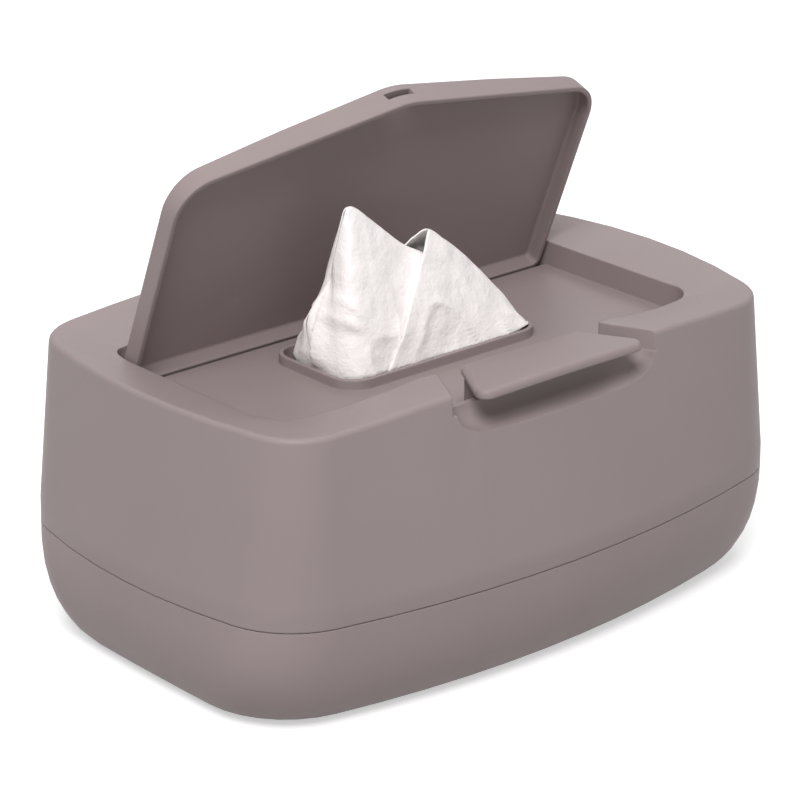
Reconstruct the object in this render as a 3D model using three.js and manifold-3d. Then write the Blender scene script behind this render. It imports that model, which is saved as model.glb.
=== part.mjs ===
// Baby wipes box: a deep tray, a housing that plugs over it, a hinged lid lying in a recess of the
// housing and a press button that holds the lid shut. The wipes lie in the tray and are pulled up
// through a collared opening. Millimetres, +Z up, +X along the length, the button faces -Y.
// The origin is the centre of the underside. The lid stands open, as its spring leaves it.
import * as THREE from 'three';
import { mergeVertices } from 'three/addons/utils/BufferGeometryUtils.js';
import Module from 'manifold-3d';

const wasm = await Module();
wasm.setup();

// Plans of the body: half length, half width, and the radii of the long faces, ends and corners.
const girthPlan = { half: 125, depth: 86.5, face: 410, end: 213, corner: 32 };
const rimPlan = { half: 118.7, depth: 76.4, face: 821, end: 209, corner: 22 };
const floorPlan = { half: 108.2, depth: 65.4, face: 413, end: 1993, corner: 35 };

// Heights of the body.
const girthHeight = 48.4;
const splitHeight = 39.8;
const crownHeight = 109.2;
const crownAlong = 2.2; // fall of the top at 100 mm along
const crownAcross = 1.46; // fall of the top at 60 mm across
const bellyPower = 2.13; // fullness of the rounded bottom
const wall = 2.2;
const rimRound = 1.8;

// Plug joint between the tray and the housing.
const splitGap = 0.3;
const plugHeight = 6;
const plugWall = 1.8;
const plugGap = 0.35;

// Recess in the housing's top.
const sideLand = 22.5;
const backLand = 31.4;
const frontLand = 19.6; // at the ears beside the button
const cornerLand = 32.2; // at the virtual front corners of the recess
const landHeight = 101;
const earHeight = 108.6;
const deckHeight = 92;
const recessCorner = 9;
const recessFrontCorner = 12;
const troughDepth = 2.6;
const troughGap = 1.2;

// Dispensing opening and its collar.
const openingHalf = 43.2;
const openingDepth = 20.4;
const openingCorner = 8;
const collarWall = 1.6;
const collarHeight = 3.5;

// Lid.
const lidSideGap = 1;
const lidRearGap = 3.7;
const lidFrontGap = 0.7;
const lidRise = 0.4; // free edge above the deck when shut
const lidEdge = 7.4; // depth of the flange at the sides and hinge
const lidNose = 11.4; // depth of the flange at the front
const lidSkin = 1.9;
const lidCornerBack = 13.1; // how far the front corners lie behind the nose
const lidBulgeBack = 3.6;
const lidFrontCorner = 17;
const lidRearCorner = 4;
const lidLean = 21.7; // degrees forward of upright when open
const lidRound = 1.3;

// Hinge stubs of the lid.
const stubRadius = 1.65;
const runningGap = 0.08;
const stubInset = 4.6; // from the lid's rear face
const stubRise = 4.7; // above the lid's free edge
const stubReach = 0.8; // past the wall it turns in

// Lid spring, wound round the longer right stub.
const lidSpringWire = 0.7;
const lidSpringTurns = 5;
const lidSpringPitch = 0.95;
const lidSpringStand = 5.2; // from the recess wall to the coil
const springGap = 0.4;

// Button.
const buttonTop = 108.4;
const buttonThick = 2.9;
const buttonBackHalf = 27.3;
const buttonFrontHalf = 36.7;
const buttonOverhang = 4.8; // past the rim
const buttonRound = 1.7;
const buttonCorner = 3;
const earBackHalf = 37;
const earFrontHalf = 47;
const legWall = 2;
const legHalf = 24.6;
const legWidth = 5;
const skirtHeight = 10.2;
const skirtWall = 1.7;
const pivotHeight = 86;
const pivotBehind = 3; // pivot in front of the button's back edge
const pinRadius = 1.5;
const pinRunning = 0.07;

// Latch on the button's skirt and its slot in the lid.
const latchHalf = 5.4;
const latchRise = 5.2; // above the lid's free edge
const latchThick = 1.5;
const latchBite = 1.1;
const latchGap = 0.4;

// Button spring, wound round the pin.
const buttonSpringWire = 0.8;
const buttonSpringTurns = 5;
const buttonSpringPitch = 1.1;

// Pocket under the button and the finger scoop in the front wall.
const pocketGap = 1.7;
const pocketFloor = 82.4;
const scoopBottom = 92.4;
const scoopTopHalf = 46;
const scoopFloorHalf = 29;
const scoopDepth = 7.4; // behind the rim
const sillHeight = 100.6;

// Wipes.
const stackHalf = 95;
const stackDepth = 52;
const stackHeight = 61;
const stackCorner = 6;
const softGap = 0.3;
const wipeThick = 3;
const wipeReach = 56; // above the deck
const wipeSpread = 2.2; // clearance to the opening's edge

// Places that follow from the sizes above.
const recessHalf = rimPlan.half - sideLand;
const recessBack = rimPlan.depth - backLand;
const earFront = rimPlan.depth - frontLand;
const cornerFront = rimPlan.depth - cornerLand;
const noseFront = earFront + (earFront - cornerFront) * earBackHalf / (recessHalf - earBackHalf);
const buttonBack = -(rimPlan.depth - frontLand - lidFrontGap) - 0.1;
const buttonFront = -(rimPlan.depth + buttonOverhang);
const lidHalf = recessHalf - lidSideGap;
const lidRear = recessBack - lidRearGap;
const lidFront = buttonBack + lidFrontGap;
const lidBase = deckHeight + lidRise;
const hingeY = lidRear - stubInset;
const hingeZ = lidBase + stubRise;
const pivotY = buttonBack - pivotBehind;
const pocketBack = buttonBack + 0.1;
const scoopBack = -(rimPlan.depth - scoopDepth);
const pocketFront = scoopBack + wall;
const pocketHalf = legHalf + pocketGap;
const openTurn = THREE.MathUtils.degToRad(90 - lidLean);
const troughReach = stubInset - (stubInset * Math.cos(openTurn) - stubRise * Math.sin(openTurn)) + troughGap;

// Joining and cutting of closed solids.
function solid(geometry) {
  const bare = geometry.index ? geometry.toNonIndexed() : geometry.clone();
  bare.deleteAttribute('normal');
  bare.deleteAttribute('uv');
  const welded = mergeVertices(bare, 1e-4);
  return new wasm.Manifold(new wasm.Mesh({
    numProp: 3,
    vertProperties: Float32Array.from(welded.attributes.position.array),
    triVerts: Uint32Array.from(welded.index.array),
  }));
}

function geometryOf(manifold) {
  const mesh = manifold.getMesh();
  const geometry = new THREE.BufferGeometry();
  geometry.setAttribute('position', new THREE.BufferAttribute(Float32Array.from(mesh.vertProperties), 3));
  geometry.setIndex(Array.from(mesh.triVerts));
  return geometry;
}

// A closed skin over rings of equal length, with a fan at each end.
function loft(rings) {
  const count = rings[0].length;
  const points = [];
  const faces = [];
  for (const ring of rings) points.push(...ring);
  for (let r = 0; r + 1 < rings.length; r += 1) {
    for (let i = 0; i < count; i += 1) {
      const a = r * count + i;
      const b = r * count + (i + 1) % count;
      faces.push(a, b, b + count, a, b + count, a + count);
    }
  }
  const middle = (ring) => ring.reduce((sum, p) => sum.add(p), new THREE.Vector3()).divideScalar(count);
  const low = points.push(middle(rings[0])) - 1;
  const high = points.push(middle(rings[rings.length - 1])) - 1;
  const last = (rings.length - 1) * count;
  for (let i = 0; i < count; i += 1) {
    const j = (i + 1) % count;
    faces.push(low, j, i, high, last + i, last + j);
  }
  const geometry = new THREE.BufferGeometry().setFromPoints(points);
  geometry.setIndex(faces);
  return solid(geometry);
}

function arc(centre, radius, from, to, steps) {
  return Array.from({ length: steps + 1 }, (_, i) => {
    const angle = from + (to - from) * i / steps;
    return new THREE.Vector2(centre.x + radius * Math.cos(angle), centre.y + radius * Math.sin(angle));
  });
}

// Plan of four shallow arcs joined by corner arcs, anticlockwise from the right end.
function arcPlan({ half, depth, face, end, corner }) {
  const faceCentre = new THREE.Vector2(0, depth - face);
  const endCentre = new THREE.Vector2(half - end, 0);
  const faceReach = face - corner;
  const endReach = end - corner;
  const between = endCentre.clone().sub(faceCentre);
  const span = between.length();
  const along = (faceReach ** 2 - endReach ** 2 + span ** 2) / (2 * span);
  const off = Math.sqrt(Math.max(faceReach ** 2 - along ** 2, 0));
  const unit = between.clone().normalize();
  const centre = faceCentre.clone().addScaledVector(unit, along)
    .addScaledVector(new THREE.Vector2(unit.y, -unit.x), off);
  const endTurn = centre.clone().sub(endCentre).angle();
  const faceTurn = centre.clone().sub(faceCentre).angle();
  const quarter = [
    ...arc(endCentre, end, 0, endTurn, 3),
    ...arc(centre, corner, endTurn, faceTurn, 7).slice(1),
    ...arc(faceCentre, face, faceTurn, Math.PI / 2, 5).slice(1),
  ];
  const half1 = [...quarter, ...quarter.slice(0, -1).reverse().map((p) => new THREE.Vector2(-p.x, p.y))];
  return [...half1, ...half1.slice(1, -1).reverse().map((p) => new THREE.Vector2(p.x, -p.y))];
}

const grown = (plan, by) => ({
  half: plan.half + by,
  depth: plan.depth + by,
  face: plan.face + by,
  end: plan.end + by,
  corner: plan.corner + by,
});

function mixed(from, to, share) {
  const plan = {};
  for (const key of Object.keys(from)) plan[key] = from[key] + (to[key] - from[key]) * share;
  return plan;
}

const level = (outline, z) => outline.map((p) => new THREE.Vector3(p.x, p.y, z));

// Outline with a fillet at each corner, corners given as [x, y, radius], anticlockwise.
function filleted(corners, steps) {
  return corners.flatMap(([x, y, radius], i) => {
    const here = new THREE.Vector2(x, y);
    const before = new THREE.Vector2(...corners.at(i - 1)).sub(here).normalize();
    const after = new THREE.Vector2(...corners[(i + 1) % corners.length]).sub(here).normalize();
    const opening = Math.acos(THREE.MathUtils.clamp(before.dot(after), -1, 1));
    if (opening > 3.12) return Array.from({ length: steps + 1 }, (_, k) => here.clone()
      .addScaledVector(before, (1 - 2 * k / steps) * 0.4));
    const reach = radius / Math.tan(opening / 2);
    const centre = before.clone().add(after).normalize().multiplyScalar(radius / Math.sin(opening / 2)).add(here);
    const start = before.multiplyScalar(reach).add(here).sub(centre).angle();
    const stop = after.multiplyScalar(reach).add(here).sub(centre).angle();
    const turn = THREE.MathUtils.euclideanModulo(stop - start + Math.PI, 2 * Math.PI) - Math.PI;
    return arc(centre, radius, start, start + turn, steps);
  });
}

const inset = (outline, by) => {
  const count = outline.length;
  return outline.map((p, i) => {
    const before = p.clone().sub(outline.at(i - 1)).normalize();
    const after = outline[(i + 1) % count].clone().sub(p).normalize();
    const tangent = before.add(after).normalize();
    return new THREE.Vector2(p.x - tangent.y * by, p.y + tangent.x * by);
  });
};

// Upright block over an outline.
function block(outline, low, high) {
  return loft([level(outline, low), level(outline, high)]);
}

function box(x0, x1, y0, y1, z0, z1) {
  return solid(new THREE.BoxGeometry(x1 - x0, y1 - y0, z1 - z0)
    .translate((x0 + x1) / 2, (y0 + y1) / 2, (z0 + z1) / 2));
}

function rodAlongX(radius, x0, x1, y, z, sides = 24) {
  return solid(new THREE.CylinderGeometry(radius, radius, x1 - x0, sides)
    .rotateZ(Math.PI / 2).translate((x0 + x1) / 2, y, z));
}

// Body: the plan at a height, the rounded belly below the girth, a straight taper above it.
function bellyShare(z) {
  const depth = THREE.MathUtils.clamp((girthHeight - z) / girthHeight, 0, 1);
  return 1 - (1 - depth ** bellyPower) ** (1 / bellyPower);
}

const bellyRing = (z, by) => level(arcPlan(grown(mixed(girthPlan, floorPlan, bellyShare(z)), by)), z);

function bellyHeights(from, to, steps) {
  const turn = (z) => Math.asin(((girthHeight - z) / girthHeight) ** (bellyPower / 2));
  return Array.from({ length: steps + 1 }, (_, i) => {
    const angle = turn(from) + (turn(to) - turn(from)) * i / steps;
    return girthHeight * (1 - Math.sin(angle) ** (2 / bellyPower));
  });
}

// Height of the crowned top, a little higher at the ears on each side of the button.
function topAt(x, y) {
  const ear = THREE.MathUtils.smoothstep(-y, rimPlan.depth * 0.6, rimPlan.depth * 0.95)
    * (1 - THREE.MathUtils.smoothstep(Math.abs(x), scoopTopHalf - 4, rimPlan.half * 0.75));
  return crownHeight - crownAlong * (x / 100) ** 2 - crownAcross * (y / 60) ** 2 + 1.3 * ear;
}

// Height of the land at the recess's edge: it climbs along the front to the ears.
function landAt(x, y) {
  const climb = THREE.MathUtils.clamp((recessHalf - 8 - Math.abs(x)) / (recessHalf - 8 - earBackHalf), 0, 1);
  const front = y < -cornerFront * 0.8 ? climb ** 1.6 : 0;
  return landHeight + (earHeight - landHeight) * front;
}

const recessOutline = (by) => filleted([
  [recessHalf + by, recessBack + by, recessCorner + by],
  [-recessHalf - by, recessBack + by, recessCorner + by],
  [-recessHalf - by, -cornerFront - by, recessFrontCorner + by],
  [0, -noseFront - by, 4],
  [recessHalf + by, -cornerFront - by, recessFrontCorner + by],
], 6);

// Where a ray from the middle meets an outline.
function meet(outline, direction) {
  const unit = direction.clone().normalize();
  for (let i = 0; i < outline.length; i += 1) {
    const a = outline[i];
    const edge = outline[(i + 1) % outline.length].clone().sub(a);
    const across = unit.x * edge.y - unit.y * edge.x;
    const reach = (a.x * edge.y - a.y * edge.x) / across;
    const along = (a.x * unit.y - a.y * unit.x) / across;
    if (across > 0 && reach > 0 && along >= -1e-9 && along <= 1 + 1e-9) return unit.multiplyScalar(reach);
  }
  return direction.clone();
}

// Rings of the housing, by mm outside its outer skin (negative inside), with the land drop mm lower.
function housingRings(bottom, by, drop, round) {
  const rim = arcPlan(grown(rimPlan, by));
  const rimAt = (inward, down) => arcPlan(grown(rimPlan, by - inward)).map((p, i) => new THREE.Vector3(
    p.x, p.y, topAt(rim[i].x, rim[i].y) - drop - down));
  const land = recessOutline(-1.5);
  return [
    ...bellyHeights(bottom, girthHeight, 2).map((z) => bellyRing(z, by)),
    ...[0, 0.3, 0.65, 1].map((share) => rimAt(round * (1 - Math.cos(share * Math.PI / 2)),
      round * (1 - Math.sin(share * Math.PI / 2)))),
    rim.map((p) => {
      const edge = meet(land, p);
      return new THREE.Vector3(edge.x, edge.y, landAt(edge.x, edge.y) - drop);
    }),
  ];
}

// Tray: belly shell with a plug that stands up inside the housing.
const splitOutline = arcPlan(grown(mixed(girthPlan, floorPlan, bellyShare(splitHeight)), 0));
const trayOuterSkin = loft(bellyHeights(0, splitHeight, 9).map((z) => bellyRing(z, 0)));
const trayHollow = loft([
  level(arcPlan(grown(mixed(girthPlan, floorPlan, bellyShare(wall + 0.3)), -wall - 3)), wall),
  ...bellyHeights(wall, splitHeight - plugHeight, 8).slice(1).map((z) => bellyRing(z, -wall)),
  level(inset(splitOutline, wall + plugGap + plugWall), splitHeight - plugHeight / 3),
  level(inset(splitOutline, wall + plugGap + plugWall), splitHeight + plugHeight + 1),
]);
const plug = block(inset(splitOutline, wall + plugGap), splitHeight - plugHeight / 4, splitHeight + plugHeight);
const tray = trayOuterSkin.add(plug).subtract(trayHollow);

// Housing: outer skin, less the hollow, which leaves a wall round every recess.
const outerSkin = loft(housingRings(splitHeight + splitGap, 0, 0, rimRound));
const hollow = loft([
  level(inset(splitOutline, wall), splitHeight - 1),
  ...housingRings(splitHeight + splitGap, -wall, wall, 0.2).slice(1),
]);

const trapezoid = (backHalf, back, frontHalf, front) => [
  new THREE.Vector2(-backHalf, back),
  new THREE.Vector2(-frontHalf, front),
  new THREE.Vector2(frontHalf, front),
  new THREE.Vector2(backHalf, back),
];
const earSlope = (earFrontHalf - earBackHalf) / (rimPlan.depth - earFront);
const earAt = (y) => earBackHalf + (-y - earFront) * earSlope;

function recessBody(by) {
  const top = crownHeight + 20;
  const bowl = block(recessOutline(by), deckHeight - by, top);
  const trough = block(recessOutline(by), deckHeight - troughDepth - by, deckHeight + 1)
    .intersect(box(-girthPlan.half, girthPlan.half, lidRear - troughReach - by, girthPlan.depth, 0, top));
  const porch = block(trapezoid(earAt(pocketBack + 8) + by, pocketBack + 8,
    earAt(pocketFront) + by, pocketFront - by), deckHeight - by, top);
  const pocket = box(-pocketHalf - by, pocketHalf + by, pocketFront - by, pocketBack + by,
    pocketFloor - by, deckHeight + 1);
  return bowl.add(trough).add(porch).add(pocket).add(scoopBody(by));
}

function scoopBody(by) {
  const rise = sillHeight - scoopBottom;
  const rings = [0, 0.12, 0.3, 0.55, 0.8, 1].map((share) => {
    const round = Math.sqrt(1 - (1 - share) ** 2);
    const half = scoopFloorHalf + (scoopTopHalf - 1.5 - scoopFloorHalf) * round + by;
    const back = -girthPlan.depth + (scoopBack + girthPlan.depth) * (0.42 + 0.58 * round) + by;
    return [half, back, scoopBottom + rise * share - by];
  });
  rings.push([scoopTopHalf + by, scoopBack + by, crownHeight + 20]);
  return loft(rings.map(([half, back, z]) => level(filleted([
    [half, back, 5],
    [-half, back, 5],
    [-half, -girthPlan.depth - 10, 0.1],
    [half, -girthPlan.depth - 10, 0.1],
  ], 5), z)));
}

const notch = block(trapezoid(earAt(-earFront + 3), -earFront + 3, earAt(-girthPlan.depth - 5),
  -girthPlan.depth - 5), sillHeight, crownHeight + 20);
const openingOutline = (by) => filleted([
  [openingHalf + by, openingDepth + by, openingCorner + by],
  [-openingHalf - by, openingDepth + by, openingCorner + by],
  [-openingHalf - by, -openingDepth - by, openingCorner + by],
  [openingHalf + by, -openingDepth - by, openingCorner + by],
], 5);
const collar = block(openingOutline(collarWall), deckHeight - wall, deckHeight + collarHeight);
const springSeat = recessHalf + wall + lidSpringStand;
const springLength = lidSpringTurns * lidSpringPitch;
const stubEndRight = springSeat + springLength + lidSpringWire;
const housing = outerSkin
  .subtract(hollow.subtract(recessBody(wall)))
  .subtract(recessBody(0))
  .subtract(notch)
  .add(collar)
  .subtract(block(openingOutline(0), deckHeight - 20, crownHeight))
  .subtract(rodAlongX(stubRadius + runningGap, -recessHalf - wall - 2, -recessHalf + 2, hingeY, hingeZ))
  .subtract(rodAlongX(stubRadius + runningGap, recessHalf - 2, recessHalf + wall + 2, hingeY, hingeZ))
  .subtract(rodAlongX(pinRadius + pinRunning, -pocketHalf - wall - 2, pocketHalf + wall + 2, pivotY, pivotHeight));

// Lid, drawn shut: panel crowned towards the nose, a flange all round, stubs at the hinge.
const lidLength = lidRear - lidFront;
const lidOutline = (by) => filleted([
  [lidHalf - by, lidRear - by, Math.max(lidRearCorner - by, 1)],
  [-lidHalf + by, lidRear - by, Math.max(lidRearCorner - by, 1)],
  [-lidHalf + by, lidFront + lidCornerBack + by * 0.9, lidFrontCorner - by],
  [-lidHalf * 0.52, lidFront + lidBulgeBack + by, 60],
  [0, lidFront - 0.6 + by, 45],
  [lidHalf * 0.52, lidFront + lidBulgeBack + by, 60],
  [lidHalf - by, lidFront + lidCornerBack + by * 0.9, lidFrontCorner - by],
], 6);
function lidDepthAt(x, y) {
  const forward = THREE.MathUtils.clamp((lidRear - y) / lidLength, 0, 1);
  return lidEdge + (lidNose - lidEdge) * forward * Math.max(1 - (x / lidHalf) ** 2, 0);
}
function lidShell(by, low, skin) {
  const edge = lidOutline(by);
  const raised = (outline, down) => outline.map((p, i) => new THREE.Vector3(
    p.x, p.y, lidBase + lidDepthAt(edge[i].x, edge[i].y) - skin - down));
  const middle = new THREE.Vector2(0, (lidRear + lidFront) / 2);
  const shrunk = (share) => lidOutline(by + lidRound).map((p) => {
    const q = p.clone().sub(middle).multiplyScalar(share).add(middle);
    return new THREE.Vector3(q.x, q.y, lidBase + lidDepthAt(q.x, q.y) - skin);
  });
  return loft([
    level(edge, low),
    raised(edge, lidRound),
    raised(lidOutline(by + lidRound * 0.3), lidRound * 0.3),
    raised(lidOutline(by + lidRound), 0),
    shrunk(0.8),
    shrunk(0.55),
    shrunk(0.25),
  ]);
}
const latchSlot = box(-latchHalf - latchGap, latchHalf + latchGap, lidFront - 2, lidFront + lidSkin + 1,
  lidBase + latchRise - latchGap, lidBase + latchRise + latchThick + latchGap + 0.6);
const lidShut = lidShell(0, lidBase, 0)
  .subtract(lidShell(lidSkin, lidBase - 1, lidSkin))
  .subtract(latchSlot)
  .add(rodAlongX(stubRadius, -recessHalf - wall - stubReach, -lidHalf + lidSkin * 0.5, hingeY, hingeZ))
  .add(rodAlongX(stubRadius, lidHalf - lidSkin * 0.5, stubEndRight, hingeY, hingeZ));
const lidGeometry = geometryOf(lidShut)
  .translate(0, -hingeY, -hingeZ)
  .rotateX(-openTurn)
  .translate(0, hingeY, hingeZ);

// Button: a plate with a rounded lip, two legs down to the pin and a skirt with the latch nose.
const plateOutline = (by) => filleted([
  [buttonBackHalf - by, buttonBack - by, 1.2],
  [-buttonBackHalf + by, buttonBack - by, 1.2],
  [-buttonFrontHalf + by, buttonFront + by, buttonCorner],
  [buttonFrontHalf - by, buttonFront + by, buttonCorner],
], 5);
const plateLow = buttonTop - buttonThick;
const plate = loft([
  level(plateOutline(0.5), plateLow),
  level(plateOutline(0), plateLow + 0.4),
  level(plateOutline(0), buttonTop - buttonRound),
  level(plateOutline(buttonRound * 0.3), buttonTop - buttonRound * 0.3),
  level(plateOutline(buttonRound), buttonTop),
]);
const legShape = new THREE.Shape();
legShape.moveTo(-legWidth / 2, plateLow + 0.5);
legShape.lineTo(-legWidth / 2, pivotHeight);
legShape.absarc(0, pivotHeight, legWidth / 2, Math.PI, 2 * Math.PI, false);
legShape.lineTo(legWidth / 2, plateLow + 0.5);
legShape.closePath();
const leg = (x) => solid(new THREE.ExtrudeGeometry(legShape, { depth: legWall, bevelEnabled: false, curveSegments: 12 })
  .rotateX(Math.PI / 2).rotateZ(Math.PI / 2).translate(x, pivotY, 0));
const skirtBack = buttonBack - 0.6;
const skirt = box(-legHalf + legWall / 2, legHalf - legWall / 2, skirtBack - skirtWall, skirtBack,
  buttonTop - buttonThick - skirtHeight + 1.2, plateLow + 0.5);
const noseShape = new THREE.Shape();
const noseLow = lidBase + latchRise;
const noseTip = lidFront + latchBite;
noseShape.moveTo(skirtBack - 0.5, noseLow);
noseShape.lineTo(noseTip, noseLow);
noseShape.lineTo(noseTip, noseLow + latchThick * 0.5);
noseShape.lineTo(skirtBack - 0.5, noseLow + latchThick * 1.9);
noseShape.closePath();
const nose = solid(new THREE.ExtrudeGeometry(noseShape, { depth: 2 * latchHalf, bevelEnabled: false })
  .rotateX(Math.PI / 2).rotateZ(Math.PI / 2).translate(-latchHalf, 0, 0));
const button = plate
  .add(leg(-legHalf))
  .add(leg(legHalf - legWall))
  .add(skirt)
  .add(nose)
  .subtract(rodAlongX(pinRadius + pinRunning, -legHalf - 1, legHalf + 1, pivotY, pivotHeight));

const pin = rodAlongX(pinRadius, -pocketHalf - wall - 0.6, pocketHalf + wall + 0.6, pivotY, pivotHeight);

// A wire along a smooth path, with round section.
function wire(points, thickness, segments, sides = 6) {
  const path = new THREE.CatmullRomCurve3(points, false, 'centripetal');
  const tube = new THREE.TubeGeometry(path, segments, thickness / 2, sides, false);
  const place = tube.attributes.position;
  const rings = Array.from({ length: segments + 1 }, (_, r) => Array.from({ length: sides }, (_, i) => (
    new THREE.Vector3().fromBufferAttribute(place, r * (sides + 1) + i))));
  const normal = rings[0][1].clone().sub(rings[0][0]).cross(rings[0][2].clone().sub(rings[0][0]));
  const ahead = path.getTangentAt(0);
  if (normal.dot(ahead) < 0) rings.forEach((ring) => ring.reverse());
  return loft(rings);
}

function coil(x0, pitch, turns, radius, y, z, start) {
  return Array.from({ length: turns * 10 + 1 }, (_, i) => {
    const angle = start + 2 * Math.PI * i / 10;
    return new THREE.Vector3(x0 + pitch * i / 10, y + radius * Math.cos(angle), z + radius * Math.sin(angle));
  });
}

// Button spring: coil on the pin, one leg under the plate, one against the pocket's front wall.
const buttonCoil = pinRadius + springGap + buttonSpringWire / 2;
const buttonSpringStart = -buttonSpringTurns * buttonSpringPitch / 2;
const buttonSpring = wire([
  new THREE.Vector3(buttonSpringStart, pivotY - buttonCoil - 1.6, plateLow - buttonSpringWire / 2 - 0.3),
  new THREE.Vector3(buttonSpringStart, pivotY - buttonCoil - 0.7, (plateLow + pivotHeight) / 2),
  ...coil(buttonSpringStart, buttonSpringPitch, buttonSpringTurns, buttonCoil, pivotY, pivotHeight, Math.PI),
  new THREE.Vector3(-buttonSpringStart, pocketFront + buttonSpringWire / 2 + 0.8, pivotHeight + 2),
  new THREE.Vector3(-buttonSpringStart, pocketFront + buttonSpringWire / 2 + 0.3, pivotHeight + 5),
], buttonSpringWire, 84);

// Lid spring: coil on the right stub, one leg against the recess wall, one across the stub's end.
const lidCoil = stubRadius + springGap + lidSpringWire / 2;
const springStart = springSeat + lidSpringWire / 2;
const coilPoints = coil(springStart, lidSpringPitch, lidSpringTurns, lidCoil, hingeY, hingeZ, Math.PI);
const lidSpring = wire([
  new THREE.Vector3(recessHalf + wall + lidSpringWire / 2 + 0.3, hingeY - lidCoil, hingeZ - 9),
  new THREE.Vector3(springStart - 1, hingeY - lidCoil, hingeZ - 5),
  ...coilPoints,
  new THREE.Vector3(stubEndRight + lidSpringWire / 2 + 0.3, hingeY - lidCoil * 0.4, hingeZ),
  new THREE.Vector3(stubEndRight + lidSpringWire / 2 + 0.3, hingeY + stubRadius, hingeZ),
], lidSpringWire, 90);

// Wipes: the folded stack on the tray's floor and the next wipe pulled up through the opening.
const stackBase = wall + softGap;
const stackTop = stackBase + stackHeight;
const stackOutline = (by) => filleted([
  [stackHalf - by, stackDepth - by, stackCorner],
  [-stackHalf + by, stackDepth - by, stackCorner],
  [-stackHalf + by, -stackDepth + by, stackCorner],
  [stackHalf - by, -stackDepth + by, stackCorner],
], 4);
const stack = loft([
  level(stackOutline(2), stackBase),
  level(stackOutline(0), stackBase + 2.5),
  level(stackOutline(0), stackTop - 2.5),
  level(stackOutline(2), stackTop),
]);

const wipeHalf = openingHalf - wipeSpread;
const wipeTop = deckHeight + wipeReach;
const wipeFoot = stackTop + softGap;
// Skyline of the wipe over the opening: share of its half length, share of its reach.
const skyline = new THREE.CatmullRomCurve3([
  new THREE.Vector3(-1, 0.14, 0),
  new THREE.Vector3(-0.86, 0.48, 0),
  new THREE.Vector3(-0.62, 0.97, 0),
  new THREE.Vector3(-0.54, 1, 0),
  new THREE.Vector3(-0.22, 0.82, 0),
  new THREE.Vector3(0.02, 0.9, 0),
  new THREE.Vector3(0.1, 0.91, 0),
  new THREE.Vector3(0.55, 0.66, 0),
  new THREE.Vector3(0.84, 0.38, 0),
  new THREE.Vector3(1, 0.12, 0),
], false, 'centripetal');
const wipe = loft(skyline.getPoints(22).map((p) => {
  const x = p.x * wipeHalf;
  const ridge = deckHeight + p.y * wipeReach;
  const round = Math.sqrt(Math.max(1 - p.x ** 6, 0.05));
  const spread = (openingDepth - wipeSpread) * round;
  const fold = 1.6 * Math.sin(p.x * 9);
  const section = [
    [stackDepth * 0.3, wipeFoot],
    [spread * 0.5 + fold * 0.4, deckHeight - 8],
    [spread * 0.42 + fold * 0.5, deckHeight + collarHeight],
    [spread * 0.2 + fold, deckHeight + (ridge - deckHeight) * 0.5],
    [wipeThick * 0.3 + fold * 0.4, ridge - 1],
    [fold * 0.4 - 0.3, ridge],
    [-wipeThick * 0.6 + fold * 0.4, ridge - 1],
    [-spread * 0.5 + fold, deckHeight + (ridge - deckHeight) * 0.5],
    [-spread * 0.92 + fold * 0.3, deckHeight + collarHeight],
    [-spread * 0.8, deckHeight - 8],
    [-stackDepth * 0.3, wipeFoot],
  ];
  return section.map(([y, z]) => new THREE.Vector3(x, y, z));
}));

// Materials and the assembled part.
const mauve = new THREE.MeshStandardMaterial({ color: 0x9a8a88, roughness: 0.5, metalness: 0 });
const mauveTray = new THREE.MeshStandardMaterial({ color: 0x97878a, roughness: 0.52, metalness: 0 });
const mauveLid = new THREE.MeshStandardMaterial({ color: 0x968685, roughness: 0.5, metalness: 0 });
const mauveButton = new THREE.MeshStandardMaterial({ color: 0xa09089, roughness: 0.45, metalness: 0 });
const steel = new THREE.MeshStandardMaterial({ color: 0xb4b6b8, roughness: 0.3, metalness: 1 });
const springSteel = new THREE.MeshStandardMaterial({ color: 0x9a9c9e, roughness: 0.35, metalness: 1 });
const springWire = new THREE.MeshStandardMaterial({ color: 0x9fa1a3, roughness: 0.34, metalness: 1 });
const moistCloth = new THREE.MeshStandardMaterial({ color: 0xf1efec, roughness: 0.9, metalness: 0 });
const foldedCloth = new THREE.MeshStandardMaterial({ color: 0xeeece8, roughness: 0.92, metalness: 0 });

const group = new THREE.Group();
function place(name, geometry, material) {
  const mesh = new THREE.Mesh(geometry, material);
  mesh.name = name;
  group.add(mesh);
}
place('base_tray', geometryOf(tray), mauveTray);
place('top_cover', geometryOf(housing), mauve);
place('lid', lidGeometry, mauveLid);
place('lid_spring', geometryOf(lidSpring), springSteel);
place('push_button', geometryOf(button), mauveButton);
place('button_pin', geometryOf(pin), steel);
place('button_spring', geometryOf(buttonSpring), springWire);
place('wipes_stack', geometryOf(stack), foldedCloth);
place('pulled_wipe', geometryOf(wipe), moistCloth);

export default group;
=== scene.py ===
# A baby wipes box of satin mauve-grey polypropylene: a deep tray, a housing that plugs over it, a lid
# on two moulded stubs, held open by a steel coil, and a press button on a steel pin. Folded moist wipes
# lie in the tray, and the top one stands up through a collared opening in the housing.
import math
import random

import bpy
from mathutils import Matrix, Vector, noise


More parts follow.
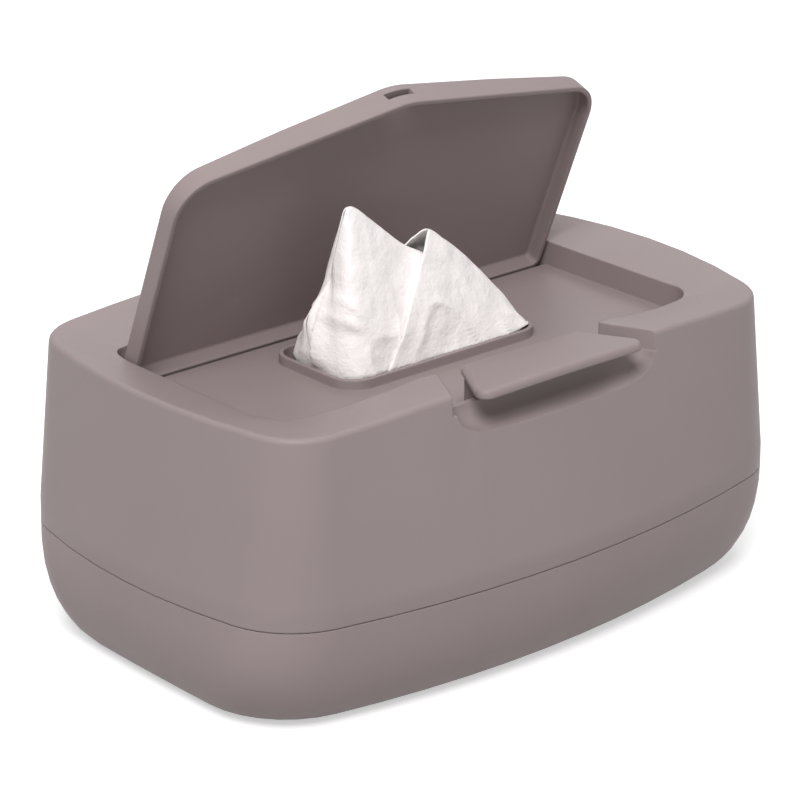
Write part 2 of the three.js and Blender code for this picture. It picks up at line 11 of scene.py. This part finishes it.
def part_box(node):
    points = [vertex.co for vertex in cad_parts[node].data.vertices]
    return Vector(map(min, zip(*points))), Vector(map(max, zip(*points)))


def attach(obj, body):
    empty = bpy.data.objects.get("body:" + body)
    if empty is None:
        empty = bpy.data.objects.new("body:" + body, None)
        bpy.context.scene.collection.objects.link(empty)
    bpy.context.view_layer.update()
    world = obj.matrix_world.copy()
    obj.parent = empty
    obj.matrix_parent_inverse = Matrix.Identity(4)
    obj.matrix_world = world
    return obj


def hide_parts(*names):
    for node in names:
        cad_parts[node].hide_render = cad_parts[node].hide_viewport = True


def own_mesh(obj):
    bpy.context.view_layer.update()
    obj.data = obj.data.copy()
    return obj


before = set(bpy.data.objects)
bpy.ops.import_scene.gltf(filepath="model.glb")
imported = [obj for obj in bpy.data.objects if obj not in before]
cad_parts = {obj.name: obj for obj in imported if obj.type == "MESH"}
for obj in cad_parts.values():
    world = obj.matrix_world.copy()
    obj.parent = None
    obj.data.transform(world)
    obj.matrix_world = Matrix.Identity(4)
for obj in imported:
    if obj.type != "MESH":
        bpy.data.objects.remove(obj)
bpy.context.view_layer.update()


# Base tray. Injection-moulded polypropylene with a fine satin skin, its rounded belly drawn in to a
# smaller foot. A plug stands up inside the housing and leaves a thin shadow line round the box.
class Value:
    """A node's output, in arithmetic with numbers and with other outputs."""

    def __init__(self, nodes, socket):
        self.nodes = nodes
        self.socket = socket

    def maths(self, operation, first, second):
        return self.nodes.node("ShaderNodeMath", {"operation": operation}, {0: first, 1: second})

    def __add__(self, other):
        return self.maths("ADD", self, other)

    def __radd__(self, other):
        return self.maths("ADD", other, self)

    def __mul__(self, other):
        return self.maths("MULTIPLY", self, other)

    def __rmul__(self, other):
        return self.maths("MULTIPLY", other, self)

    def either(self, other):
        return self.maths("MAXIMUM", self, other)


class Nodes:
    """The nodes of a material, a world or a geometry group."""

    def __init__(self, tree):
        self.tree = tree
        self.tree.nodes.clear()

    def node(self, kind, settings, sockets, output=0):
        """Adds a node, sets its settings, then gives its sockets their values or links."""
        node = self.tree.nodes.new(kind)
        for name, value in settings.items():
            setattr(node, name, value)
        for name, value in sockets.items():
            if isinstance(value, Value):
                self.tree.links.new(value.socket, node.inputs[name])
            else:
                node.inputs[name].default_value = value
        return Value(self, node.outputs[output]) if len(node.outputs) else None


class Finish(Nodes):
    """A material, closed by its surface once the values that feed it are made."""

    def __init__(self, name):
        self.material = bpy.data.materials.new(name)
        self.material.use_nodes = True
        super().__init__(self.material.node_tree)

    def place(self):
        return self.node("ShaderNodeTexCoord", {}, {}, "Object")

    def noise(self, scale, detail, rough=0.5):
        return self.node("ShaderNodeTexNoise", {}, {
            "Vector": self.place(), "Scale": scale, "Detail": detail, "Roughness": rough})

    def blend(self, share, first, second):
        return self.node("ShaderNodeMix", {"data_type": "RGBA"}, {0: share, 6: first, 7: second}, 2)

    def surface(self, sockets):
        shader = self.node("ShaderNodeBsdfPrincipled", {}, sockets)
        self.node("ShaderNodeOutputMaterial", {}, {"Surface": shader})
        return self.material


def linear(red, green, blue):
    """A screen colour, 0 to 255, as the linear colour that a shader takes."""
    parts = [v / 255 for v in (red, green, blue)]
    return tuple(v / 12.92 if v <= 0.04045 else ((v + 0.055) / 1.055) ** 2.4 for v in parts) + (1.0,)


def satin(name, light, dark, roughness, edge=0.0006, foot=0.0):
    """Satin moulded plastic: cloudy colour, a spark-eroded grain, rubbed patches, eased edges, and painted
    shade that darkens the colour towards the floor by the share foot.
    """
    floor_shade_height = 0.045
    finish = Finish(name)
    cloud = finish.noise(16, 4)
    height = finish.node("ShaderNodeSeparateXYZ", {}, {"Vector": finish.place()}, 2)
    # Painted shade: the colour darkens over the lowest 45 mm, most at the floor, by the share foot.
    floor_shade = finish.node("ShaderNodeMapRange", {"interpolation_type": "SMOOTHSTEP"}, {
        "Value": height, "From Min": 0.0, "From Max": floor_shade_height, "To Min": foot, "To Max": 0.0})
    rubbed = finish.noise(55, 5, 0.62)
    eased = finish.node("ShaderNodeBevel", {"samples": 6}, {"Radius": edge})
    grain = finish.node("ShaderNodeBump", {}, {
        "Strength": 0.35, "Distance": 0.00004, "Height": finish.noise(2600, 2, 0.6), "Normal": eased})
    return finish.surface({
        "Base Color": finish.blend(cloud * 0.7 + floor_shade, light, dark),
        "Roughness": rubbed * 0.16 + (roughness - 0.08),
        "Specular IOR Level": 0.2,
        "Normal": grain,
    })


def moulded_normals(sharp=33, weld=0.00001):
    """Welds a moulding and shades it smooth, apart from the edges that turn more than sharp degrees."""
    tree = bpy.data.node_groups.new("moulded_normals", "GeometryNodeTree")
    for way in ("INPUT", "OUTPUT"):
        tree.interface.new_socket("Geometry", in_out=way, socket_type="NodeSocketGeometry")
    nodes = Nodes(tree)
    raw = nodes.node("NodeGroupInput", {}, {})
    welded = nodes.node("GeometryNodeMergeByDistance", {}, {0: raw, "Distance": weld})
    bare = nodes.node("GeometryNodeRemoveAttribute", {}, {0: welded, "Name": "custom_normal"})
    smooth = nodes.node("GeometryNodeSetShadeSmooth", {"domain": "FACE"}, {0: bare})
    turn = nodes.node("GeometryNodeInputMeshEdgeAngle", {}, {})
    gentle = nodes.node("FunctionNodeCompare", {"operation": "LESS_THAN"}, {0: turn, 1: math.radians(sharp)})
    edged = nodes.node("GeometryNodeSetShadeSmooth", {"domain": "EDGE"}, {0: smooth, "Shade Smooth": gentle})
    nodes.node("NodeGroupOutput", {}, {0: edged})
    return tree


smooth_skin = moulded_normals()


def moulded(piece):
    """Gives a piece the smooth faces and crisp edges of a moulding."""
    piece.modifiers.new("moulded", "NODES").node_group = smooth_skin
    weight = piece.modifiers.new("faces lead", "WEIGHTED_NORMAL")
    weight.keep_sharp = True
    weight.weight = 60


def finish_node(name, material):
    """Gives a solid of the frame its smooth shading and its finish."""
    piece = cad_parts[name]
    moulded(piece)
    for slot in piece.material_slots:
        slot.material = material


# The tray's colour is darkened towards the floor as painted shade.
tray_satin = satin("tray satin", linear(157, 142, 142), linear(146, 132, 132), 0.5, foot=0.15)
finish_node("base_tray", tray_satin)

# Top cover. One moulding with the lands, the recess for the lid, the collar round the opening, the
# pocket for the button's legs and the finger scoop, plugged over the tray.
cover_satin = satin("cover satin", linear(152, 138, 138), linear(142, 129, 129), 0.46, edge=0.0008)
finish_node("top_cover", cover_satin)

# Lid. A thin panel with a flange all round, crowned towards its nose, on two stubs moulded at its
# hinge side. A slot in the nose takes the button's latch.
lid_satin = satin("lid satin", linear(151, 137, 137), linear(142, 128, 128), 0.5, edge=0.0007)
lid_half = 94.5
lid_rear = 41.3
lid_front = -55.5
lid_rear_round = 4
lid_end_back = 14.4  # the front corners lie this far behind the nose
lid_end_round = 14.5
lid_bend_back = 7.2  # and the gentle bends halfway to them
lid_bend_round = 240
lid_nose_back = 0.1
lid_nose_round = 34
lid_base = 92.4
lid_flange = 7.4
lid_nose_flange = 11.4
lid_skin = 1.9
lid_round = 1.3
lid_inner_round = 1.2
lid_rim_ease = 0.3
hinge_y = 36.7
hinge_z = 97.1
opening_turn = -68.3
stub_radius = 1.65
stub_ease = 0.35
left_stub = (-99.2, -93.6)
right_stub = (93.6, 109.05)  # long enough to carry the coil
slot_half = 5.8
slot_depth = (-60, -52.6)
slot_height = (100.1, 97.2)


def filleted(corners, steps):
    """Outline with a fillet at each corner, the corners given as (x, y, radius)."""
    outline = []
    for index, (x, y, radius) in enumerate(corners):
        here = Vector((x, y))
        before = (Vector(corners[index - 1][:2]) - here).normalized()
        after = (Vector(corners[(index + 1) % len(corners)][:2]) - here).normalized()
        opening = math.acos(max(-1, min(1, before.dot(after))))
        reach = radius / math.tan(opening / 2)
        centre = here + (before + after).normalized() * (radius / math.sin(opening / 2))
        start = here + before * reach - centre
        stop = here + after * reach - centre
        first = math.atan2(start.y, start.x)
        turn = (math.atan2(stop.y, stop.x) - first + math.pi) % (2 * math.pi) - math.pi
        for step in range(steps + 1):
            angle = first + turn * step / steps
            outline.append(centre + Vector((math.cos(angle), math.sin(angle))) * radius)
    return outline


def lid_outline(inset):
    end = lid_half - inset
    end_front = lid_front + lid_end_back + inset * 0.9
    bend_front = lid_front + lid_bend_back + inset
    rear_round = max(lid_rear_round - inset, 1)
    return filleted([
        (end, lid_rear - inset, rear_round),
        (-end, lid_rear - inset, rear_round),
        (-end, end_front, lid_end_round - inset),
        (-lid_half * 0.5, bend_front, lid_bend_round),
        (0, lid_front + lid_nose_back + inset, lid_nose_round),
        (lid_half * 0.5, bend_front, lid_bend_round),
        (end, end_front, lid_end_round - inset),
    ], 14)


def lid_depth(x, y):
    forward = max(0, min(1, (lid_rear - y) / (lid_rear - lid_front)))
    return lid_flange + (lid_nose_flange - lid_flange) * forward * max(1 - (x / lid_half) ** 2, 0)


def lid_panel(inset, skin, shares):
    middle = Vector((0, (lid_rear + lid_front) / 2))
    rings = []
    for share in shares:
        ring = [middle + (p - middle) * share for p in lid_outline(inset)]
        rings.append([Vector((q.x, q.y, lid_base + lid_depth(q.x, q.y) - skin)) for q in ring])
    return rings


def lid_edge(inset, base, down):
    return [Vector((p.x, p.y, lid_base + lid_depth(q.x, q.y) - down))
            for p, q in zip(lid_outline(inset), lid_outline(base))]


def quarter(radius, steps):
    """Inset and fall of the steps of a rounded edge, from its top to its side."""
    angles = [math.pi / 2 * step / steps for step in range(steps + 1)]
    return [(radius * (1 - math.sin(a)), radius * (1 - math.cos(a))) for a in angles]


def lid_rim(inset, rise):
    return [Vector((p.x, p.y, lid_base + rise)) for p in lid_outline(inset)]


panel_shares = [0.04, 0.15, 0.3, 0.45, 0.6, 0.75, 0.88]
lid_rings = lid_panel(lid_round, 0, panel_shares)
lid_rings += [lid_edge(inset, 0, down) for inset, down in quarter(lid_round, 5)]
lid_rings += [lid_rim(0, lid_rim_ease), lid_rim(lid_rim_ease, 0)]
lid_rings += [lid_rim(lid_skin - lid_rim_ease, 0), lid_rim(lid_skin, lid_rim_ease)]
lid_rings += [lid_edge(lid_skin + inset, lid_skin, lid_skin + down)
              for inset, down in reversed(quarter(lid_inner_round, 4))]
lid_rings += lid_panel(lid_skin + lid_inner_round, lid_skin, reversed(panel_shares))


def skinned(rings):
    """Points and faces of a closed skin over rings of equal length, outside first."""
    width = len(rings[0])
    points = [p for ring in rings for p in ring]
    faces = []
    for row in range(len(rings) - 1):
        for i in range(width):
            j = (i + 1) % width
            faces.append((row * width + i, (row + 1) * width + i, (row + 1) * width + j, row * width + j))
    last = (len(rings) - 1) * width
    faces.append(tuple(range(width)))
    faces.append(tuple(last + i for i in reversed(range(width))))
    return points, faces


def stub(start, stop):
    rings = []
    for x, radius in ((start, stub_radius - stub_ease), (start + stub_ease, stub_radius),
                      (stop - stub_ease, stub_radius), (stop, stub_radius - stub_ease)):
        rings.append([Vector((x, hinge_y + radius * math.cos(a), hinge_z - radius * math.sin(a)))
                      for a in (2 * math.pi * k / 32 for k in range(32))])
    return skinned(rings)


def piece_of(name, solids, material):
    """A smooth-shaded piece over several lists of points and faces, given in metres."""
    points = []
    faces = []
    for some_points, some_faces in solids:
        faces += [tuple(len(points) + i for i in face) for face in some_faces]
        points += some_points
    mesh = bpy.data.meshes.new(name)
    mesh.from_pydata([tuple(p) for p in points], [], faces)
    mesh.update()
    for face in mesh.polygons:
        face.use_smooth = True
    mesh.materials.append(material)
    piece = bpy.data.objects.new(name, mesh)
    bpy.context.scene.collection.objects.link(piece)
    return piece


def cut(piece, cutter):
    """Cuts one mesh out of another and removes the cutter."""
    knife = piece.modifiers.new("cut", "BOOLEAN")
    knife.object = cutter
    knife.solver = "EXACT"
    knife.use_self = True
    whole = piece.evaluated_get(bpy.context.evaluated_depsgraph_get())
    piece.data = bpy.data.meshes.new_from_object(whole)
    piece.modifiers.clear()
    bpy.data.objects.remove(cutter)


opened = Matrix.Translation((0, hinge_y, hinge_z)) @ Matrix.Rotation(math.radians(opening_turn), 4, "X")
opened = Matrix.Scale(0.001, 4) @ opened @ Matrix.Translation((0, -hinge_y, -hinge_z))
lid_solids = []
for points, faces in (skinned(lid_rings), stub(*left_stub), stub(*right_stub)):
    lid_solids.append(([opened @ p for p in points], faces))
lid = piece_of("hinged_lid", lid_solids, lid_satin)
slot_corners = [(-slot_half, slot_depth[0]), (slot_half, slot_depth[0]),
                (slot_half, slot_depth[1]), (-slot_half, slot_depth[1])]
slot_rings = [[opened @ Vector((x, y, z)) for x, y in slot_corners] for z in slot_height]
slot = piece_of("slot", [skinned(slot_rings)], lid_satin)
cut(lid, slot)
moulded(lid)
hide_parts("lid")
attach(lid, "lid")

# Push button. A thick plate with a rounded lip over the scoop, on two legs that turn on the pin, and
# a skirt that carries the latch nose.
button_satin = satin("button satin", linear(148, 134, 134), linear(140, 126, 126), 0.42, edge=0.0008)
plate_top = 108.4
plate_thick = 2.9
plate_low = plate_top - plate_thick
plate_round = 1.8
plate_under_round = 0.6
plate_back = -56.2
plate_front = -81.2
plate_back_half = 26.0
plate_front_half = 39.4
plate_back_fillet = 1.4
plate_tip_fillet = 4.2
plate_front_bow = 0.9  # the front edge draws back by this towards its tips
plate_front_sweep = 260
plate_droop = 0.9  # and the plate sinks by this
pivot_y = -59.2
pivot_z = 86.0
leg_half = 24.6
leg_thick = 2
leg_round = 2.5
skirt_half = 23.6
skirt_y = (-56.8, -58.5)
skirt_foot = 96.5
latch_half = 5.4
latch_tip = -54.4
latch_root = -57.3
latch_under = 97.6
latch_tip_top = 98.35
latch_root_top = 100.4
sunk_in_plate = 0.4


def plate_outline(inset):
    tip_half = plate_front_half - inset
    tip_y = plate_front + inset + plate_front_bow
    tip_fillet = max(plate_tip_fillet - inset, 1)
    return filleted([
        (plate_back_half - inset, plate_back - inset, plate_back_fillet),
        (inset - plate_back_half, plate_back - inset, plate_back_fillet),
        (-tip_half, tip_y, tip_fillet),
        (0, plate_front + inset, plate_front_sweep),
        (tip_half, tip_y, tip_fillet),
    ], 10)


def drooped(outline, z):
    """Outline at a height, sinking a little towards the plate's two front tips."""
    return [Vector((p.x, p.y, z - plate_droop * (p.x / plate_front_half) ** 2)) for p in outline]


def plate_face(inset, z, shares):
    """Rings that fill a face of the plate out from its middle."""
    middle = Vector((0, (plate_back + plate_front) / 2))
    return [drooped([middle.lerp(p, share) for p in plate_outline(inset)], z) for share in shares]


plate_rings = plate_face(plate_round, plate_top, (0.05, 0.3, 0.6, 0.85))
plate_rings += [drooped(plate_outline(inset), plate_top - down) for inset, down in quarter(plate_round, 6)]
plate_rings += [drooped(plate_outline(inset), plate_low + down)
                for inset, down in reversed(quarter(plate_under_round, 3))]
plate_rings += plate_face(plate_under_round, plate_low, (0.6, 0.1))


def block(xs, profile):
    """A bar along X over a profile of (y, z) points, with its ends at the two values of xs."""
    rings = [[Vector((x, y, z)) for y, z in profile] for x in xs]
    return skinned(rings)


# the legs, the skirt and the latch start inside the plate
root = plate_low + sunk_in_plate
leg_profile = [(pivot_y + leg_round, root)]
for step in range(13):
    angle = math.pi * step / 12
    leg_profile.append((pivot_y + leg_round * math.cos(angle), pivot_z - leg_round * math.sin(angle)))
leg_profile.append((pivot_y - leg_round, root))
skirt_profile = [(skirt_y[0], root), (skirt_y[0], skirt_foot), (skirt_y[1], skirt_foot), (skirt_y[1], root)]
latch_profile = [(latch_tip, latch_tip_top), (latch_tip, latch_under),
                 (latch_root, latch_under), (latch_root, latch_root_top)]
button_solids = [
    skinned(plate_rings),
    block((-leg_half, leg_thick - leg_half), leg_profile),
    block((leg_half - leg_thick, leg_half), leg_profile),
    block((-skirt_half, skirt_half), skirt_profile),
    block((-latch_half, latch_half), latch_profile),
]
millimetres = Matrix.Scale(0.001, 4)
button_solids = [([millimetres @ p for p in points], faces) for points, faces in button_solids]
button = piece_of("press_button", button_solids, button_satin)
moulded(button)
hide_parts("push_button")
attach(button, "button")


# Pin and springs. Drawn stainless steel: a straight pin through the pocket's walls, a coil on it that
# lifts the button, and a coil on the lid's right stub that holds the lid open.
def drawn_steel(name, colour, roughness):
    """Drawn wire and rod: fine lines along the draw and a thin film of oil in patches."""
    filmed = tuple(v * 0.82 for v in colour[:3]) + (1.0,)
    finish = Finish(name)
    film = finish.noise(400, 3)
    lines = finish.node("ShaderNodeTexWave", {"bands_direction": "Y"}, {
        "Vector": finish.place(), "Scale": 3000, "Distortion": 3.0, "Detail": 2.0}, 1)
    return finish.surface({
        "Base Color": finish.blend(film, colour, filmed),
        "Metallic": 1.0,
        "Roughness": film * 0.12 + (roughness - 0.06),
        "Normal": finish.node("ShaderNodeBump", {}, {"Strength": 0.3, "Distance": 0.00001, "Height": lines}),
    })


finish_node("button_pin", drawn_steel("pin steel", linear(184, 186, 188), 0.3))
spring_steel = drawn_steel("spring steel", linear(170, 172, 175), 0.34)
finish_node("button_spring", spring_steel)
finish_node("lid_spring", spring_steel)


# Stack of wipes. Moist non-woven sheets, each folded to the tray's size and laid on the last, so the
# stack shows a rounded fold for each sheet along its sides.
def cloth(name, colour, shade):
    """Moist non-woven cloth: crossed fibres, soft hollows and a soft sheen."""
    finish = Finish(name)
    hollows = finish.noise(60, 3)
    fibres = finish.noise(1500, 4, 0.7)
    weave = finish.node("ShaderNodeTexVoronoi", {"feature": "F1"}, {
        "Vector": finish.place(), "Scale": 900.0})
    rumpled = finish.node("ShaderNodeBump", {}, {
        "Strength": 0.7, "Distance": 0.0016, "Height": finish.noise(120, 9, 0.66)})
    woven = finish.node("ShaderNodeBump", {}, {
        "Strength": 0.5, "Distance": 0.00012, "Height": fibres * 0.6 + weave * 0.4, "Normal": rumpled})
    return finish.surface({
        "Base Color": finish.blend(hollows, colour, shade),
        "Roughness": fibres * 0.2 + 0.62,
        "Specular IOR Level": 0.3,
        "Sheen Weight": 0.15,
        "Normal": woven,
    })


moist = cloth("moist cloth", linear(255, 250, 249), linear(250, 244, 243))
stack_low, stack_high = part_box("wipes_stack")
sheets = 22
sheet_rise = (stack_high.z - stack_low.z) / sheets
# height within a sheet, as a share of its rise, and how far its rounded fold draws in there
fold_profile = ((0.04, 0.0013), (0.25, 0.0005), (0.5, 0.0003), (0.75, 0.0005), (0.96, 0.0013))
slide_across = 0.0002
slide_along = 0.0003
random.seed(4)


def stack_outline(inset, steps=10, corner=0.006):
    half = stack_high.x - inset
    depth = stack_high.y - inset
    corners = [(half - corner, depth - corner, 0), (corner - half, depth - corner, 90),
               (corner - half, corner - depth, 180), (half - corner, corner - depth, 270)]
    outline = []
    for x, y, start in corners:
        for i in range(steps + 1):
            angle = math.radians(start + 90 * i / steps)
            outline.append((x + corner * math.cos(angle), y + corner * math.sin(angle)))
    return outline


def banded(width, rows):
    """Faces between the rows of points of a closed band."""
    bands = []
    for row in range(rows - 1):
        for i in range(width):
            j = (i + 1) % width
            bands.append((row * width + i, row * width + j, (row + 1) * width + j, (row + 1) * width + i))
    return bands


stack_points = []
for sheet in range(sheets):
    slide_x = random.uniform(-slide_across, slide_across)
    slide_y = random.uniform(-slide_along, slide_along)
    for share, inset in fold_profile:
        z = stack_low.z + (sheet + share) * sheet_rise
        stack_points += [Vector((x + slide_x, y + slide_y, z)) for x, y in stack_outline(inset)]
ring = len(stack_outline(0))
stack_faces = banded(ring, sheets * len(fold_profile))
stack_faces.append(tuple(reversed(range(ring))))
stack_faces.append(tuple(range(len(stack_points) - ring, len(stack_points))))
stack = piece_of("stack_of_wipes", [(stack_points, stack_faces)], moist)
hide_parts("wipes_stack")
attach(stack, "tray")

# Pulled wipe. One sheet, drawn up through the opening and let go, so it stands in two peaks with a
# pleat between them, spreads inside the collar and lies out over the stack below.
wipe_columns = [
    # foot on the collar's inner edge, then the point of the sheet's edge above it, in millimetres
    ((-41.6, 4.0), (-42.3, 3.0, 104.9)),
    ((-41.8, -2.0), (-42.2, 2.0, 114.0)),
    ((-41.6, -8.0), (-34.9, 0.0, 125.1)),
    ((-40.6, -13.0), (-33.7, -1.0, 132.7)),
    ((-38.6, -16.6), (-30.2, -1.5, 146.0)),
    ((-36.0, -18.3), (-26.5, -1.5, 149.6)),
    ((-31.0, -19.0), (-16.0, -2.6, 141.0)),
    ((-27.5, -19.0), (-5.5, -3.2, 132.2)),
    ((-24.5, -18.7), (2.7, -4.4, 127.5)),
    ((-21.0, -18.2), (7.0, -4.8, 124.5)),
    ((-23.0, -18.7), (4.0, -5.1, 129.8)),
    ((-25.0, -19.2), (4.8, -5.5, 135.6)),
    ((-14.0, -19.3), (13.0, -6.2, 129.5)),
    ((0.0, -19.2), (22.5, -6.6, 121.0)),
    ((16.0, -19.0), (32.5, -8.8, 109.8)),
    ((30.0, -19.0), (39.2, -10.8, 101.2)),
    ((38.5, -17.0), (41.2, -12.2, 96.0)),
    ((41.6, -10.0), (41.2, -11.6, 95.9)),
    ((41.6, 4.0), (39.2, -10.2, 101.0)),
    ((38.5, 16.4), (32.5, -8.2, 109.6)),
    ((30.0, 18.6), (22.5, -6.0, 120.8)),
    ((20.0, 18.8), (13.0, -5.6, 129.3)),
    ((12.0, 18.8), (5.0, -5.0, 135.4)),
    ((4.0, 18.8), (-0.5, -3.4, 133.4)),
    ((-6.0, 18.8), (-5.8, -2.6, 131.4)),
    ((-14.0, 18.8), (-16.0, -1.6, 140.0)),
    ((-22.0, 18.8), (-26.5, -0.8, 149.0)),
    ((-30.0, 18.0), (-30.0, -0.7, 145.4)),
    ((-36.5, 16.2), (-33.4, -0.1, 132.2)),
    ((-40.0, 12.4), (-34.7, 0.8, 124.6)),
    ((-41.4, 8.5), (-42.0, 2.9, 113.4)),
]
column_steps = 8
climb_steps = 48
pleat = range(8, 12)  # the columns after which the sheet runs straight into and out of the pleat
collar_top = 0.0955
collar_sink = 0.0005
stack_top = stack_high.z
lie_clear = 0.0006
ruffle_height = 0.0006
billow_front = 0.0028
billow_back = 0.001
crease_height = 0.0012
crumple_height = 0.0019
pucker_height = 0.0004


def between_columns(index, share):
    """A foot and an edge point on the smooth curve through neighbouring columns."""
    before, here, after, beyond = [wipe_columns[(index + k) % len(wipe_columns)] for k in (-1, 0, 1, 2)]
    if index in pleat:
        before, beyond = here, after

    def curve(a, b, c, d):
        return 0.5 * (2 * b + (c - a) * share + (2 * a - 5 * b + 4 * c - d) * share ** 2
                      + (3 * b - a - 3 * c + d) * share ** 3)

    foot = [curve(before[0][k], here[0][k], after[0][k], beyond[0][k]) / 1000 for k in range(2)]
    tip = [curve(before[1][k], here[1][k], after[1][k], beyond[1][k]) / 1000 for k in range(3)]
    return foot, tip


def below_collar(foot, spread, rise):
    """A point below the collar: out over the stack, or drawn in on its way up to the opening."""
    lying = spread > 1
    x = foot[0] * (spread if lying else 0.5 + spread * 0.5)
    y = foot[1] * spread * (1.1 if lying else 0.82)
    ruffle = ruffle_height * noise.noise(Vector((x * 60, y * 60, spread)))
    return Vector((x, y, stack_top + lie_clear + rise / 1000 + abs(ruffle)))


def above_collar(foot, tip, share):
    """A point of the standing sheet, a share of the way from the collar to the sheet's edge."""
    point = Vector((foot[0], foot[1], collar_top - collar_sink)).lerp(Vector(tip), share)
    outward = Vector((foot[0] * 0.35, foot[1], 0)).normalized()
    billow = math.sin(math.pi * share) * (billow_front if point.y < 0 else billow_back)
    crumple = noise.noise(Vector((point.x * 55, point.z * 38, 3.1 if foot[1] < 0 else 9.4)))
    pucker = noise.noise(Vector((point.x * 210, point.z * 150, 5.0 + foot[1] * 30)))
    cells = noise.noise(Vector((point.x * 70 + point.z * 30, point.z * 55, 1.7 + foot[1] * 20)))
    crease = max(1 - abs(cells) * 2, 0) ** 3 * (1 - share ** 4)
    fold = crease_height * crease + pucker_height * pucker
    fold += crumple_height * crumple * math.sin(math.pi * min(share * 1.15, 1))
    return point + outward * (billow * (1 - share * 0.35) + fold)


columns = []
for index in range(len(wipe_columns)):
    for step in range(column_steps):
        columns.append(between_columns(index, step / column_steps))
# for each row below the collar: how far it spreads from the opening's middle, and its height in millimetres
rows_below = [(1.75, 0.0), (1.45, 0.0), (1.2, 0.05), (1.02, 0.5), (0.9, 3.5), (0.86, 10.0), (0.9, 18.0),
              (0.97, 26.0)]
wipe_points = [below_collar(foot, spread, rise) for spread, rise in rows_below for foot, tip in columns]
for row in range(climb_steps + 1):
    wipe_points += [above_collar(foot, tip, row / climb_steps) for foot, tip in columns]
wipe_faces = banded(len(columns), len(rows_below) + climb_steps + 1)
wipe = piece_of("top_wipe", [(wipe_points, wipe_faces)], moist)
thick = wipe.modifiers.new("cloth thickness", "SOLIDIFY")
thick.thickness = 0.0004
thick.offset = 0.0
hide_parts("pulled_wipe")
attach(wipe, "tray")
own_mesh(wipe)


# Floor and light. A white paper sweep, under a wide soft lamp high above the camera and a weaker one
# behind. Rays from the camera, or sent on by gloss or glass, see paper and air brighter than others do.
def grey(level):
    return (level, level, level, 1.0)


def sees_backdrop(nodes):
    """1 for the rays that show the backdrop, and 0 for those that only carry its light."""
    camera, gloss, glass = [nodes.node("ShaderNodeLightPath", {}, {}, ray) for ray in (
        "Is Camera Ray", "Is Glossy Ray", "Is Transmission Ray")]
    return camera.either(gloss).either(glass)


paper = Finish("white paper")
seen = sees_backdrop(paper)
fibred = paper.blend(paper.noise(30, 2), grey(0.72), grey(0.7))
white_paper = paper.surface({
    "Base Color": paper.blend(seen, grey(0.48), fibred),
    "Emission Color": paper.blend(seen, grey(0.0), grey(0.5)),
    "Emission Strength": 1.0,
    "Roughness": 0.9,
    "Specular IOR Level": 0.1,
})
floor_half = 6.0
floor_corners = [(-floor_half, -floor_half, 0), (floor_half, -floor_half, 0),
                 (floor_half, floor_half, 0), (-floor_half, floor_half, 0)]
floor = piece_of("floor", [(floor_corners, [(0, 1, 2, 3)])], white_paper)

world = bpy.data.worlds.new("studio")
bpy.context.scene.world = world
world.use_nodes = True
air = Nodes(world.node_tree)
air_light = 0.58
glow = air.node("ShaderNodeBackground", {}, {
    "Color": grey(0.8), "Strength": air_light + (1 - air_light) * sees_backdrop(air)})
air.node("ShaderNodeOutputWorld", {}, {"Surface": glow})


def soft_lamp(name, place, power, size=1.0, aim=(0, 0, 0.06)):
    lamp = bpy.data.lights.new(name, "AREA")
    lamp.shape = "DISK"
    lamp.size = size
    lamp.energy = power
    holder = bpy.data.objects.new(name, lamp)
    holder.location = place
    holder.rotation_mode = "QUATERNION"
    holder.rotation_quaternion = (Vector(aim) - Vector(place)).to_track_quat("-Z", "Y")
    bpy.context.scene.collection.objects.link(holder)


soft_lamp("key", (-0.85, -0.78, 1.6), 30)
soft_lamp("rear", (0.9, 0.9, 1.5), 6)

lens = bpy.data.cameras.new("camera")
lens.lens = 151.97
lens.sensor_width = 36
lens.clip_start = 0.01
lens.clip_end = 50
camera = bpy.data.objects.new("camera", lens)
camera.location = (-0.72481, -0.82888, 0.50579)
camera.rotation_mode = "QUATERNION"
camera.rotation_quaternion = Vector((0.61083, 0.70187, -0.36642)).to_track_quat("-Z", "Y")
bpy.context.scene.collection.objects.link(camera)
bpy.context.scene.camera = camera
bpy.context.scene.view_settings.view_transform = "Standard"
